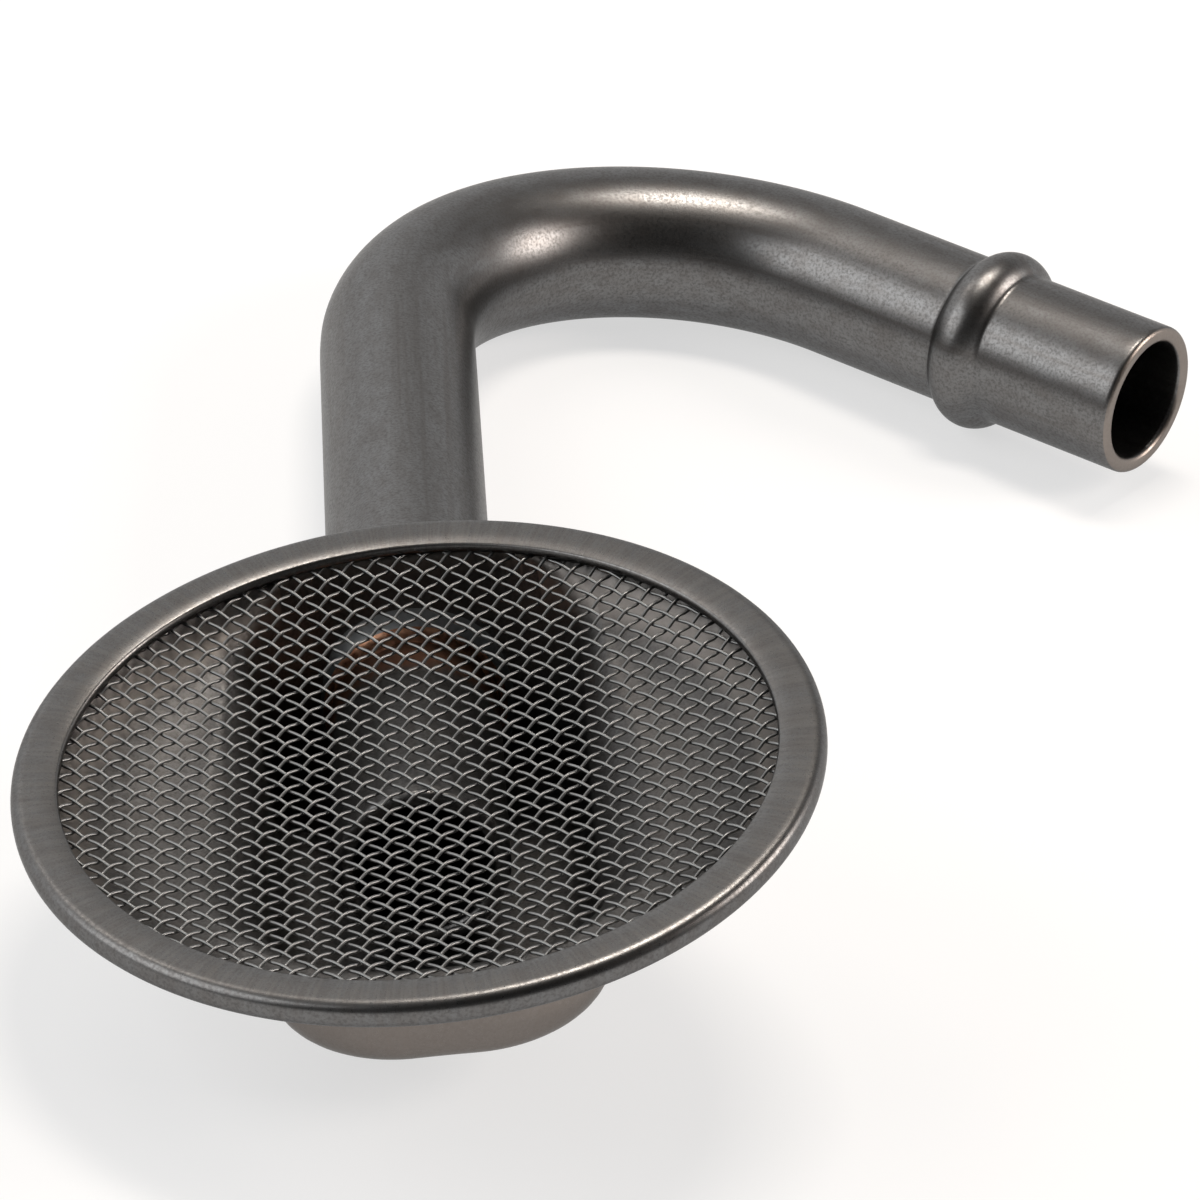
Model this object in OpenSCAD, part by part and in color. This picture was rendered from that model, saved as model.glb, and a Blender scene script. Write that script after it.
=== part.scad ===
// Oil pickup tube of an engine: a bent suction tube brazed into a stamped bowl,
// with a woven wire screen held in the bowl's hemmed rim. Millimetres, lying as it comes to rest.

/* [Tube] */
// Outside diameter of the tube
tube_od = 15.875; // [14:0.125:18]
// Wall thickness of the tube
tube_wall = 1.65; // [1:0.05:2.2]
// Straight leg from the middle of the bowl to the start of the bend
leg_reach = 109.6; // [80:0.2:140]
// How far the leg's open mouth lies past the middle of the bowl
mouth_past_middle = 0.7; // [0:0.1:6]
// Radius of the bend at the tube's centre line
bend_radius = 29; // [24:0.5:40]
// Angle that the bend turns through
bend_angle = 128.8; // [90:0.2:140]
// How much the tube's radius draws down in the bend
bend_slim = 0.05; // [0.02:0.01:0.2]
// Straight run from the end of the bend to the pump end
end_length = 38.6; // [34:0.2:60]
// Chamfer on both edges of the pump end
end_chamfer = 0.4; // [0.2:0.05:0.6]

/* [Stop bead] */
// Outside diameter of the bead that stops the tube in the pump
bead_od = 19.05; // [18.4:0.05:21]
// Distance from the pump end to the middle of the bead
bead_from_end = 19.3; // [12:0.1:26]
// Radius of the bead's rounded section
bead_round = 3.05; // [2.4:0.05:3.4]

/* [Bowl] */
// Outside diameter of the hemmed rim
rim_d = 73.3; // [72:0.1:80]
// Thickness of the bowl's sheet steel
sheet = 1; // [0.8:0.05:1.2]
// Width of the hem that is rolled over the screen
hem_w = 4.05; // [3.6:0.05:4.4]
// Gap inside the hem that grips the screen
hem_gap = 0.7; // [0.5:0.05:0.9]
// Radius where the flange under the hem turns down into the bowl
flange_r = 33.7; // [33.4:0.1:34]
// Radius of the foot of the short wall under the flange
shelf_r = 31; // [30:0.1:31.5]
// Depth of the shelf at its outer edge, below the middle of the hem
shelf_depth = 3.8; // [3:0.1:4.6]
// Slope of the shelf towards the middle, in degrees
shelf_slope = 13; // [8:0.5:18]
// Middle radius of the bend between the shelf and its short wall
shelf_round = 2.2; // [1.5:0.1:2.6]

/* [Trough] */
// Half width of the trough at the leg's height
trough_half_w = 16.7; // [15:0.1:18]
// Clearance between the leg and the trough's floor
floor_gap = 1.35; // [0.6:0.05:2]
// Inside radius between the trough's floor and its walls
floor_round = 4; // [3:0.1:5]
// Draft of the trough's walls, in degrees
wall_draft = 3; // [1:0.5:5]
// Where the round near end of the trough is centred, measured along the leg
near_centre = -3; // [-6:0.5:0]
// Where the far wall stands at the leg's height, measured along the leg
far_wall = 30.8; // [29:0.1:31]
// Plan radius of the two far corners
far_round = 11; // [8:0.5:13]

/* [Bowl on the leg] */
// Height of the hem's middle above the leg, square to the screen
tube_depth = 11.5; // [11.2:0.1:12.5]
// Sideways offset of the leg from the middle of the bowl
tube_offset = -0.6; // [-1.5:0.1:1.5]
// Angle between the leg and the plane of the screen
bowl_pitch = 8; // [6:0.5:9]
// Turn of the bowl about the leg, from the plane of the bend
bowl_roll = 10.5; // [0:0.5:20]
// Length of the collar drawn inwards round the leg
collar_l = 1.6; // [1:0.1:2.5]
// Clearance between the leg and its hole, which the braze fills
braze_gap = 0.1; // [0.05:0.01:0.2]
// Length of the braze fillet along the leg
braze_l = 2.2; // [1:0.1:3]
// Height of the braze fillet on the collar's face
braze_h = 0.4; // [0.2:0.05:0.5]

/* [Screen] */
// Spacing of the woven strips
strip_pitch = 6.35; // [6.35:0.05:9]
// Width of a woven strip
strip_w = 1.7; // [1.2:0.1:2.2]
// Thickness of a woven strip
strip_t = 0.5; // [0.4:0.05:0.6]
// Height of the weave's wave above and below its middle
weave_rise = 0.22; // [0.1:0.01:0.24]
// Turn of the weave from the line of the leg
weave_turn = 45; // [0:1:45]
// How far the middle of the screen dips below the hem
screen_sag = 2.5; // [1:0.1:3]
// Clearance between the hem and each face of the screen's edge
grip_clear = 0.05; // [0.02:0.01:0.1]

/* [Lie on a table] */
// Tilt of the whole part about its width, in degrees
lie_pitch = -2.5; // [-10:0.01:10]
// Tilt of the whole part about its length, in degrees
lie_roll = -1.19; // [-10:0.01:10]

/* [Hidden] */
$fn = 96;

// How far cutting solids run past the faces that they cut
overrun = 2;
// Chords to an arc in a drawn section
arc_chords = 8;
// How far the straight runs reach into the slimmer bend
bend_lap = 0.1;
// Sides of the round ends that the trough is hulled from
hull_fn = 40;
// Points closer than this are one point
same_point = 0.0001;

tube_r = tube_od / 2;
bore_r = tube_r - tube_wall;
bead_ring_r = bead_od / 2 - bead_round;
rim_r = rim_d / 2;
hem_inner_r = rim_r - hem_w;
hem_half = hem_gap / 2 + sheet;
hem_turn_r = rim_r - hem_half;
hole_r = tube_r + braze_gap;
collar_r = hole_r + sheet;
floor_z = -(tube_r + floor_gap);
trough_top = rim_r;
grip_t = hem_gap - 2 * grip_clear;
grip_r = hem_inner_r + hem_w / 2;

// The bend's middle, its far end and the pump end, in the plane of the tube
bend_middle = [bend_radius, leg_reach, 0];
end_way = [sin(bend_angle), cos(bend_angle), 0];
bend_end = bend_middle + bend_radius * [-cos(bend_angle), sin(bend_angle), 0];
pump_end = bend_end + end_length * end_way;

// The plain end seats in the pump as far as the foot of the bead
bead_half = sqrt(pow(bead_round, 2) - pow(tube_r - bead_ring_r, 2));
seat_l = bead_from_end - bead_half - end_chamfer;
seat_middle = pump_end - (end_chamfer + seat_l / 2) * end_way;

function unit(v) = v / norm(v);
function left_of(v) = [-v.y, v.x];
function turn(a, p, b) = sign(cross(p - a, b - p));
function miter(a, p, b, d) =
    let (m = left_of(unit(p - a)), n = left_of(unit(b - p)))
    p + d * (m + n) / (1 + m * n);

// A path moved to its left by d, each corner kept sharp
function beside(path, d) =
    let (last = len(path) - 1)
    [for (i = [0 : last])
        i == 0 ? path[0] + d * left_of(unit(path[1] - path[0]))
        : i == last ? path[last] + d * left_of(unit(path[last] - path[last - 1]))
        : miter(path[i - 1], path[i], path[i + 1], d)];

// Points on the arc of radius r that rounds corner p between a and b
function corner_arc(a, p, b, r) =
    let (u = unit(a - p), v = unit(b - p), half = acos(u * v) / 2)
    let (centre = p + unit(u + v) * r / sin(half))
    let (from = p + u * r / tan(half) - centre)
    let (sweep = turn(a, p, b) * (180 - 2 * half))
    [for (i = [0 : arc_chords])
        let (t = sweep * i / arc_chords)
        centre + [from.x * cos(t) - from.y * sin(t), from.x * sin(t) + from.y * cos(t)]];

// A list of points without those that repeat the point before them
function distinct(points) =
    [for (i = [0 : len(points) - 1]) if (i == 0 || norm(points[i] - points[i - 1]) > same_point) points[i]];

// A path with its inner corners rounded, radii[i - 1] at corner i
function rounded(path, radii) =
    let (last = len(path) - 1)
    distinct([path[0],
        for (i = [1 : last - 1]) each corner_arc(path[i - 1], path[i], path[i + 1], radii[i - 1]),
        path[last]]);

// Radii of a path's corners once it is moved to its left by d
function radii_beside(path, radii, d) =
    [for (i = [1 : len(path) - 2]) radii[i - 1] - d * turn(path[i - 1], path[i], path[i + 1])];

function side_line(path, radii, d) = rounded(beside(path, d), radii_beside(path, radii, d));
function backwards(list) = [for (i = [len(list) - 1 : -1 : 0]) list[i]];

// Middle line of the stamping's section, from inside the trough out to the lip of the hem
hem_mid = hem_gap / 2 + sheet / 2;
shelf_start = trough_half_w / 2;
hem_line = [
    [shelf_start, -shelf_depth - (shelf_r - shelf_start) * tan(shelf_slope)],
    [shelf_r, -shelf_depth],
    [flange_r, -hem_mid],
    [rim_r - sheet / 2, -hem_mid],
    [rim_r - sheet / 2, hem_mid],
    [hem_inner_r, hem_mid]
];
hem_radii = [shelf_round, sheet, hem_mid, hem_mid];
shelf_line = side_line(hem_line, hem_radii, 0);
upper_side = side_line(hem_line, hem_radii, sheet / 2);
lower_side = side_line(hem_line, hem_radii, -sheet / 2);

module lie_down() {
    rotate([lie_pitch, lie_roll, 0])
        translate(-seat_middle)
            children();
}

// From the bowl's frame, with the hem's middle at the origin, to the plane of the tube
module on_leg() {
    rotate([0, -bowl_roll, 0])
        rotate([bowl_pitch, 0, 0])
            translate([-tube_offset, 0, tube_depth])
                children();
}

// From a frame with +Y along the leg to the bowl's frame
module along_leg(offset) {
    translate([offset, 0, -tube_depth])
        rotate([-bowl_pitch, 0, 0])
            children();
}

// A round bar of radius r along +Y from y0 to y1
module bar_y(r, y0, y1) {
    translate([0, y0, 0])
        rotate([-90, 0, 0])
            cylinder(r = r, h = y1 - y0);
}

module along_end() {
    translate(bend_end)
        rotate([-90, 0, -bend_angle])
            children();
}

// The tube's path as a solid of radius r, run past both open ends by extra
module tube_run(r, extra) {
    bar_y(r, -mouth_past_middle - extra, leg_reach + bend_lap);
    translate(bend_middle)
        rotate([0, 0, 180 - bend_angle])
            rotate_extrude(angle = bend_angle)
                translate([bend_radius, 0])
                    circle(r = r - bend_slim);
    along_end()
        translate([0, 0, -bend_lap])
            cylinder(r = r, h = bend_lap + end_length + extra);
}

// The bead's ring, with a section of radius r
module bead_ring(r) {
    along_end()
        translate([0, 0, end_length - bead_from_end])
            rotate_extrude()
                translate([bead_ring_r, 0])
                    circle(r = r);
}

module pump_end_chamfers() {
    along_end()
        translate([0, 0, end_length])
            rotate_extrude() {
                polygon([[tube_r - end_chamfer, 0], [tube_r + overrun, 0], [tube_r + overrun, -end_chamfer],
                    [tube_r, -end_chamfer]]);
                polygon([[bore_r + end_chamfer, 0], [bore_r - overrun, 0], [bore_r - overrun, -end_chamfer],
                    [bore_r, -end_chamfer]]);
            }
}

module pickup_tube() {
    color([0.36, 0.35, 0.34])
        lie_down()
            difference() {
                union() {
                    tube_run(tube_r, 0);
                    bead_ring(bead_round);
                }
                tube_run(bore_r, overrun);
                bead_ring(bead_round - tube_wall);
                pump_end_chamfers();
            }
}

// Half of the trough's section, its inside for d = 0 and its outside for d = sheet,
// measured from a line that lies inset towards its wall
function trough_half(d, inset) =
    let (lean = tan(wall_draft), wide = trough_half_w + d / cos(wall_draft) - inset, foot = floor_z - d)
    concat(
        rounded([[0, foot], [wide + lean * foot, foot], [wide + lean * trough_top, trough_top]], [floor_round + d]),
        [[0, trough_top]]);

// The trough as a filled solid in the frame with +Y along the leg: a round near end and two far corners
module trough_fill(d) {
    corner_x = trough_half_w - far_round;
    hull() {
        translate([0, near_centre, 0])
            rotate_extrude($fn = hull_fn)
                polygon(trough_half(d, 0));
        for (side = [-1, 1])
            translate([side * corner_x, far_wall - far_round, 0])
                rotate_extrude($fn = hull_fn)
                    polygon(trough_half(d, corner_x));
    }
}

// The trough's outside, its top buried in the sheet of the shelf and the flange
module trough_outside() {
    intersection() {
        along_leg(0)
            trough_fill(sheet);
        rotate_extrude()
            polygon(concat(
                [[0, shelf_line[0].y]],
                [for (p = shelf_line) if (p.y < 0 && p.x < hem_turn_r) p],
                [[hem_turn_r, -hem_mid], [hem_turn_r, -rim_r], [0, -rim_r]]));
    }
}

// The trough's inside, ending between the two layers of the hem
module trough_inside() {
    intersection() {
        along_leg(0)
            trough_fill(0);
        translate([0, 0, -rim_r])
            cylinder(r = rim_r, h = rim_r);
    }
}

module bowl() {
    color([0.33, 0.32, 0.31])
        lie_down()
            on_leg()
                difference() {
                    union() {
                        difference() {
                            union() {
                                rotate_extrude()
                                    polygon(concat(upper_side, backwards(lower_side)));
                                trough_outside();
                            }
                            trough_inside();
                        }
                        along_leg(tube_offset)
                            bar_y(collar_r, far_wall - collar_l, far_wall + sheet / 2);
                    }
                    along_leg(tube_offset)
                        bar_y(hole_r, far_wall - collar_l - overrun, far_wall + sheet + overrun);
                }
}

module braze_fillet() {
    color([0.66, 0.42, 0.30])
        lie_down()
            on_leg()
                along_leg(tube_offset)
                    translate([0, far_wall - collar_l, 0])
                        rotate([-90, 0, 0])
                            rotate_extrude()
                                polygon(concat(
                                    rounded([[tube_r, -braze_l], [hole_r, -braze_l / 4], [hole_r + braze_h, 0]],
                                        [braze_h]),
                                    [[hole_r, 0], [hole_r, collar_l + sheet], [tube_r, collar_l + sheet]]));
}

// Height of the screen's middle at distance r from the bowl's axis
function dish(r) = -screen_sag * max(0, 1 - pow(r / hem_inner_r, 2));
function fade(r) = min(1, max(0, (hem_inner_r - r) / strip_pitch));

// One woven strip along +X, offset by its number in the weave and waving in step with it
module woven_strip(number, phase) {
    offset = number * strip_pitch;
    reach = sqrt(pow(grip_r, 2) - pow(offset, 2));
    steps = 2 * ceil(3 * reach / strip_pitch);
    line = [for (i = [-steps : steps])
        let (u = reach * i / steps, r = norm([u, offset]))
        [u, dish(r) + weave_rise * fade(r) * cos(180 * (u / strip_pitch + number) + phase)]];
    translate([0, offset + strip_w / 2, 0])
        rotate([90, 0, 0])
            linear_extrude(strip_w)
                polygon(concat(
                    [for (p = line) p + [0, strip_t / 2]],
                    [for (p = backwards(line)) p - [0, strip_t / 2]]));
}

module screen() {
    count = floor((hem_inner_r - strip_w) / strip_pitch);
    color([0.55, 0.55, 0.54])
        lie_down()
            on_leg() {
                for (number = [-count : count]) {
                    rotate([0, 0, weave_turn])
                        woven_strip(number, 0);
                    rotate([0, 0, weave_turn + 90])
                        woven_strip(-number, 180);
                }
                rotate_extrude()
                    translate([hem_inner_r + grip_clear, -grip_t / 2])
                        square([hem_turn_r - hem_inner_r - grip_clear, grip_t]);
            }
}

pickup_tube();
bowl();
screen();
braze_fillet();
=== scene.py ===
"""Looks of an oil pickup tube: a bent steel tube brazed into a stamped bowl with a woven wire screen."""
import logging
from dataclasses import dataclass
from enum import Enum

import bmesh
import bpy
import numpy as np
from mathutils import Matrix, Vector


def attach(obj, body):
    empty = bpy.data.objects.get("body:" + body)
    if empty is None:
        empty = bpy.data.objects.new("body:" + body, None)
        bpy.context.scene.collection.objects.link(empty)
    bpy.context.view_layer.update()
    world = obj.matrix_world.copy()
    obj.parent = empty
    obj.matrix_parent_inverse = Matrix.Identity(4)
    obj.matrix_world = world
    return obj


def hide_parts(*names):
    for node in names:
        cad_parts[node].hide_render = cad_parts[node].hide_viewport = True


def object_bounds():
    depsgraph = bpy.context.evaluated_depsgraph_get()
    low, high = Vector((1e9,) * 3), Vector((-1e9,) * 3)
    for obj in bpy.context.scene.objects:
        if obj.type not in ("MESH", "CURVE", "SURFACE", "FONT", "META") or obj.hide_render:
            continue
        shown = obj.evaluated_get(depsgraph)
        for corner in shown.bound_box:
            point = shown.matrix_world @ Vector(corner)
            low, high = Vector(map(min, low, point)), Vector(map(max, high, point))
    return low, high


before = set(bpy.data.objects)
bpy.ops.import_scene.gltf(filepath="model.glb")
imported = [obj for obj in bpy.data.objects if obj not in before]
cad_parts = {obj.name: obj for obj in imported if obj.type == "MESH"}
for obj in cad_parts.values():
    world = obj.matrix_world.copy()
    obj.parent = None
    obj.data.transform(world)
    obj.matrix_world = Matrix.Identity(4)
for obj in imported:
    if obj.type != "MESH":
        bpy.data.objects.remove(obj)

LOG = logging.getLogger("pickup_tube")
Tree, Node, Socket = bpy.types.NodeTree, bpy.types.Node, bpy.types.NodeSocket
ROOT = "root"
MM = 0.001
TINY = 1e-12
PHOTO_PX = 1200
CAD_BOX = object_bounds()


class Axis(Enum):
    """The three axes that a frame can be turned about."""

    X = 0
    Y = 1
    Z = 2


class Joining(Enum):
    """What a helper solid does to a piece, by Blender's names."""

    ADDED = "UNION"
    CUT_AWAY = "DIFFERENCE"
    KEPT_TO = "INTERSECT"


class Sum(Enum):
    """How two shader values are put together, by Blender's names."""

    LARGER = "MAXIMUM"
    TIMES = "MULTIPLY"


def turned(axis: Axis, degrees: float) -> np.ndarray:
    """Rotation matrix for a right-handed turn.

    Args:
        axis: The axis to turn about.
        degrees: The angle of the turn.

    Returns:
        A 3 by 3 matrix that turns column vectors.
    """
    c, s = np.cos(np.radians(degrees)), np.sin(np.radians(degrees))
    i, j = [(1, 2), (2, 0), (0, 1)][axis.value]
    m = np.eye(3)
    m[i, i], m[i, j], m[j, i], m[j, j] = c, -s, s, c
    return m


def unit(v: np.ndarray) -> np.ndarray:
    """Vectors along the last axis, each scaled to length one."""
    return v / np.maximum(np.linalg.norm(v, axis=-1, keepdims=True), TINY)


def smooth_step(x: np.ndarray) -> np.ndarray:
    """0 below 0, 1 above 1, and a smooth cubic rise between."""
    t = np.clip(x, 0.0, 1.0)
    return t * t * (3.0 - 2.0 * t)


@dataclass(frozen=True)
class Place:
    """Where a drawing frame in millimetres lies in the model's frame in metres."""

    turn: np.ndarray
    origin: np.ndarray

    def put(self, points: np.ndarray) -> np.ndarray:
        """Points of the drawing frame, in the model's frame."""
        return (points @ self.turn.T + self.origin) * MM

    def way(self, v: np.ndarray) -> np.ndarray:
        """A direction of the drawing frame, in the model's frame."""
        return v @ self.turn.T

    def holding(self, turn: np.ndarray, origin: np.ndarray) -> "Place":
        """A frame that lies at this turn and origin inside this one."""
        return Place(self.turn @ turn, self.turn @ origin + self.origin)


@dataclass
class Surface:
    """A grid of points that a mesh is made from, rows by columns.

    Args:
        points: Array of rows, columns and three coordinates, in metres.
        uv: Array of rows, columns and two surface coordinates, in metres.
        wrap_rows: Whether the last row joins the first.
    """

    points: np.ndarray
    uv: np.ndarray
    wrap_rows: bool = False

    def quads(self) -> tuple[np.ndarray, np.ndarray]:
        """Corners of each face; the columns always close on themselves, with one spare uv column at the end.

        Returns:
            Vertex numbers, and uv coordinates, of the four corners of each face.
        """
        rows, cols = self.points.shape[:2]
        number = np.arange(rows * cols).reshape(rows, cols)
        number = np.concatenate([number, number[:, :1]], axis=1)
        if self.wrap_rows:
            number = np.concatenate([number, number[:1]], axis=0)
        low, high = slice(None, -1), slice(1, None)
        corners = [(low, low), (low, high), (high, high), (high, low)]
        faces = np.stack([number[c] for c in corners], axis=-1).reshape(-1, 4)
        places = np.stack([self.uv[c] for c in corners], axis=-2).reshape(-1, 4, 2)
        return faces, places


def mesh_piece(name: str, surfaces: list[Surface], merge_mm: float = 0.0005) -> bpy.types.Object:
    """Joins grids into one smooth-shaded object at the origin, with its poles closed.

    Args:
        name: Name of the new object.
        surfaces: The grids to join.
        merge_mm: Points closer than this become one.

    Returns:
        The new object, linked to the scene.
    """
    points, faces, places, count = [], [], [], 0
    for surface in surfaces:
        quads, uv = surface.quads()
        points.append(surface.points.reshape(-1, 3))
        faces.append(quads + count)
        places.append(uv)
        count += len(points[-1])
    co, quads, uv = np.concatenate(points), np.concatenate(faces), np.concatenate(places)
    mesh = bpy.data.meshes.new(name)
    mesh.vertices.add(len(co))
    mesh.vertices.foreach_set("co", co.astype(np.float32).ravel())
    mesh.loops.add(quads.size)
    mesh.loops.foreach_set("vertex_index", quads.astype(np.int32).ravel())
    mesh.polygons.add(len(quads))
    mesh.polygons.foreach_set("loop_start", np.arange(0, quads.size, 4, dtype=np.int32))
    mesh.uv_layers.new(name="surface").data.foreach_set("uv", uv.astype(np.float32).ravel())
    mesh.update(calc_edges=True)
    close_mesh(mesh, merge_mm)
    piece = bpy.data.objects.new(name, mesh)
    bpy.context.scene.collection.objects.link(piece)
    return piece


def close_mesh(mesh: bpy.types.Mesh, merge_mm: float) -> None:
    """Merges doubled points, drops the faces that vanish and turns the rest outwards.

    Args:
        mesh: The mesh to close.
        merge_mm: Points closer than this become one.
    """
    work = bmesh.new()
    work.from_mesh(mesh)
    bmesh.ops.remove_doubles(work, verts=work.verts, dist=merge_mm * MM)
    bmesh.ops.dissolve_degenerate(work, dist=merge_mm * MM, edges=work.edges)
    bmesh.ops.recalc_face_normals(work, faces=work.faces)
    work.to_mesh(mesh)
    work.free()
    mesh.shade_smooth()


def dress(piece: bpy.types.Object, finish: "Finish", slot: str, *nodes: str) -> bpy.types.Object:
    """Gives a piece its finish and ties it to the frame.

    Args:
        piece: The piece to dress.
        finish: The finish that it takes.
        slot: The record's material slot; not used.
        nodes: The CAD nodes that it stands for.

    Returns:
        The same piece.
    """
    piece.data.materials.clear()
    piece.data.materials.append(finish.material())
    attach(piece, ROOT)
    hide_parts(*nodes)
    LOG.info("%s: %d faces", piece.name, len(piece.data.polygons))
    return piece


@dataclass
class Tube:
    """The suction tube: a long leg, a bend and a plain end with a stop bead, drawn in the plane of the bend.

    The leg runs along +Y and the bend turns towards +X. Lengths are in millimetres and angles in degrees.
    """

    od: float = 15.875
    wall: float = 1.65
    leg_reach: float = 109.6
    mouth_past_middle: float = 0.7
    bend_radius: float = 29.0
    bend_angle: float = 128.8
    end_length: float = 38.6
    end_chamfer: float = 0.4
    bead_od: float = 19.05
    bead_from_end: float = 19.3
    bead_round: float = 3.05
    bead_fillet: float = 0.8
    lip_round: float = 0.7
    flat_depth: float = 0.95
    flat_from: float = -8.0
    flat_to: float = 66.0
    flat_power: int = 3
    face_share: float = 0.6
    lie_roll: float = -1.19
    lie_pitch: float = -2.5
    sides: int = 112
    leg_rows: int = 60
    bend_rows: int = 97
    neck_rows: int = 16
    bead_rows: int = 61
    bead_reach: float = 4.5
    end_rows: int = 18
    lip_rows: int = 7

    @property
    def r(self) -> float:
        """Outside radius."""
        return self.od / 2

    @property
    def bore_r(self) -> float:
        """Radius of the bore."""
        return self.r - self.wall

    @property
    def leg_l(self) -> float:
        """Length of the straight leg from its mouth."""
        return self.leg_reach + self.mouth_past_middle

    @property
    def bend_l(self) -> float:
        """Length of the bend along its middle line."""
        return self.bend_radius * np.radians(self.bend_angle)

    @property
    def length(self) -> float:
        """Length of the whole tube along its middle line."""
        return self.leg_l + self.bend_l + self.end_length

    @property
    def end_way(self) -> np.ndarray:
        """Direction of the plain end."""
        return np.array([np.sin(np.radians(self.bend_angle)), np.cos(np.radians(self.bend_angle)), 0.0])

    def middle(self, s: np.ndarray) -> tuple[np.ndarray, np.ndarray]:
        """Middle line at lengths s from the mouth: a line, an arc and a line.

        Args:
            s: Lengths along the middle line.

        Returns:
            Points on the line, and the directions that point out of the bend.
        """
        a = np.clip((s - self.leg_l) / self.bend_radius, 0.0, np.radians(self.bend_angle))
        outward = np.stack([-np.cos(a), np.sin(a), np.zeros_like(a)], axis=-1)
        along = np.stack([np.sin(a), np.cos(a), np.zeros_like(a)], axis=-1)
        before = np.minimum(s - self.leg_l, 0.0)
        after = np.maximum(s - self.leg_l - self.bend_l, 0.0)
        centre = np.array([self.bend_radius, self.leg_reach, 0.0])
        return centre + self.bend_radius * outward + (before + after)[..., None] * along, outward

    @property
    def ring_r(self) -> float:
        """Radius of the circle on which the bead's round section is centred."""
        return self.bead_od / 2 - self.bead_round

    def seat_middle(self) -> np.ndarray:
        """Middle of the plain length that seats in the pump, which is the model's origin.

        Returns:
            The point, in the tube's drawing frame.
        """
        foot = self.bead_from_end - np.sqrt(self.bead_round**2 - (self.r - self.ring_r) ** 2)
        end = self.middle(np.array([self.length]))[0][0]
        return end - (self.end_chamfer + foot) / 2 * self.end_way

    def lying(self) -> Place:
        """The tube's frame as the part lies on the table, with the seat's middle at the model's origin."""
        lie = turned(Axis.Y, self.lie_roll) @ turned(Axis.X, self.lie_pitch)
        return Place(lie, -lie @ self.seat_middle())

    def swell(self, s: np.ndarray, r: float, section: float) -> np.ndarray:
        """Radius of a wall that a bead swells: the bead's circle, then one that touches it and the wall.

        Args:
            s: Lengths along the middle line.
            r: Radius of the plain wall.
            section: Radius of the bead's round section.

        Returns:
            The wall's radius at each length.
        """
        x, f = np.abs(s - (self.length - self.bead_from_end)), self.bead_fillet
        foot = np.sqrt((section + f) ** 2 - (r - self.ring_r + f) ** 2)
        join = foot * section / (section + f)
        ring = self.ring_r + np.sqrt(np.maximum(section**2 - x**2, 0.0))
        hollow = r + f - np.sqrt(np.maximum(f**2 - (foot - x) ** 2, 0.0))
        return np.where(x < join, ring, np.where(x < foot, hollow, r))

    def section(self) -> np.ndarray:
        """The wall's outline: out along the outside, round the end, back along the bore and round the mouth.

        Returns:
            Pairs of length along the middle line and radius, in order.
        """
        lip, last, bead = self.lip_round, self.length, self.length - self.bead_from_end
        marks = [lip, self.leg_l, self.leg_l + self.bend_l, bead - self.bead_reach, bead + self.bead_reach,
                 last - lip]
        counts = [self.leg_rows, self.bend_rows, self.neck_rows, self.bead_rows, self.end_rows]
        stretches = [np.linspace(a, b, n)[:-1] for a, b, n in zip(marks, marks[1:], counts)]
        s = np.concatenate([*stretches, marks[-1:]])
        outside = np.stack([s, self.swell(s, self.r, self.bead_round)], axis=-1)
        bore = np.stack([s, self.swell(s, self.bore_r, self.bead_round - self.wall)], axis=-1)
        quarter = np.linspace(0.0, np.pi / 2, self.lip_rows)
        turns = []
        for s0, r0, a0 in ((last - lip, self.r - lip, np.pi / 2), (last - lip, self.bore_r + lip, 0.0),
                           (lip, self.bore_r + lip, -np.pi / 2), (lip, self.r - lip, -np.pi)):
            a = a0 - quarter
            turns.append(np.stack([s0 + lip * np.cos(a), r0 + lip * np.sin(a)], axis=-1))
        return np.concatenate([outside, turns[0][1:], turns[1][:-1],
                               bore[::-1], turns[2][1:], turns[3][:-1]])

    def run(self) -> np.ndarray:
        """Length along the wall's outline up to each of its points, and back to the first."""
        closed = np.concatenate([self.section(), self.section()[:1]])
        return np.concatenate([[0.0], np.cumsum(np.linalg.norm(np.diff(closed, axis=0), axis=-1))])

    def cut_face(self) -> tuple[float, float]:
        """Where the pump end's bare face lies on the wall's outline.

        Returns:
            The first and the last length along the outline.
        """
        s = self.section()[:, 0]
        face = self.run()[:-1][s > self.length - self.face_share * self.lip_round]
        return float(face.min()), float(face.max())

    def surface(self, place: Place) -> Surface:
        """The wall's outline carried along the middle line, flattened a little on the outside of the bend.

        Args:
            place: Where the tube's drawing frame lies.

        Returns:
            The closed grid, its uv in metres round and along the tube.
        """
        outline = self.section()
        s, r = outline[:, 0], outline[:, 1]
        centre, outward = self.middle(s)
        theta = np.linspace(0.0, 2 * np.pi, self.sides, endpoint=False)
        angle = np.degrees((s - self.leg_l) / self.bend_radius)
        mid, half = (self.flat_from + self.flat_to) / 2, (self.flat_to - self.flat_from) / 2
        flat = self.flat_depth * smooth_step(1.0 - np.abs(angle - mid) / half)
        press = np.maximum(np.cos(theta), 0.0) ** self.flat_power
        radius = r[:, None] - flat[:, None] * press[None, :]
        up = np.array([0.0, 0.0, 1.0])
        ring = np.cos(theta)[None, :, None] * outward[:, None, :] + np.sin(theta)[None, :, None] * up
        points = centre[:, None, :] + radius[..., None] * ring
        turn = np.linspace(0.0, 2 * np.pi * self.r, self.sides + 1)
        uv = np.stack(np.meshgrid(turn, self.run()), axis=-1) * MM
        return Surface(place.put(points), uv, wrap_rows=True)

    def build(self, place: Place, finish: "Finish") -> bpy.types.Object:
        """Makes the tube, which stands for its CAD node."""
        return dress(mesh_piece("tube_wall", [self.surface(place)]), finish, "tube_steel", "pickup_tube")


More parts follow.
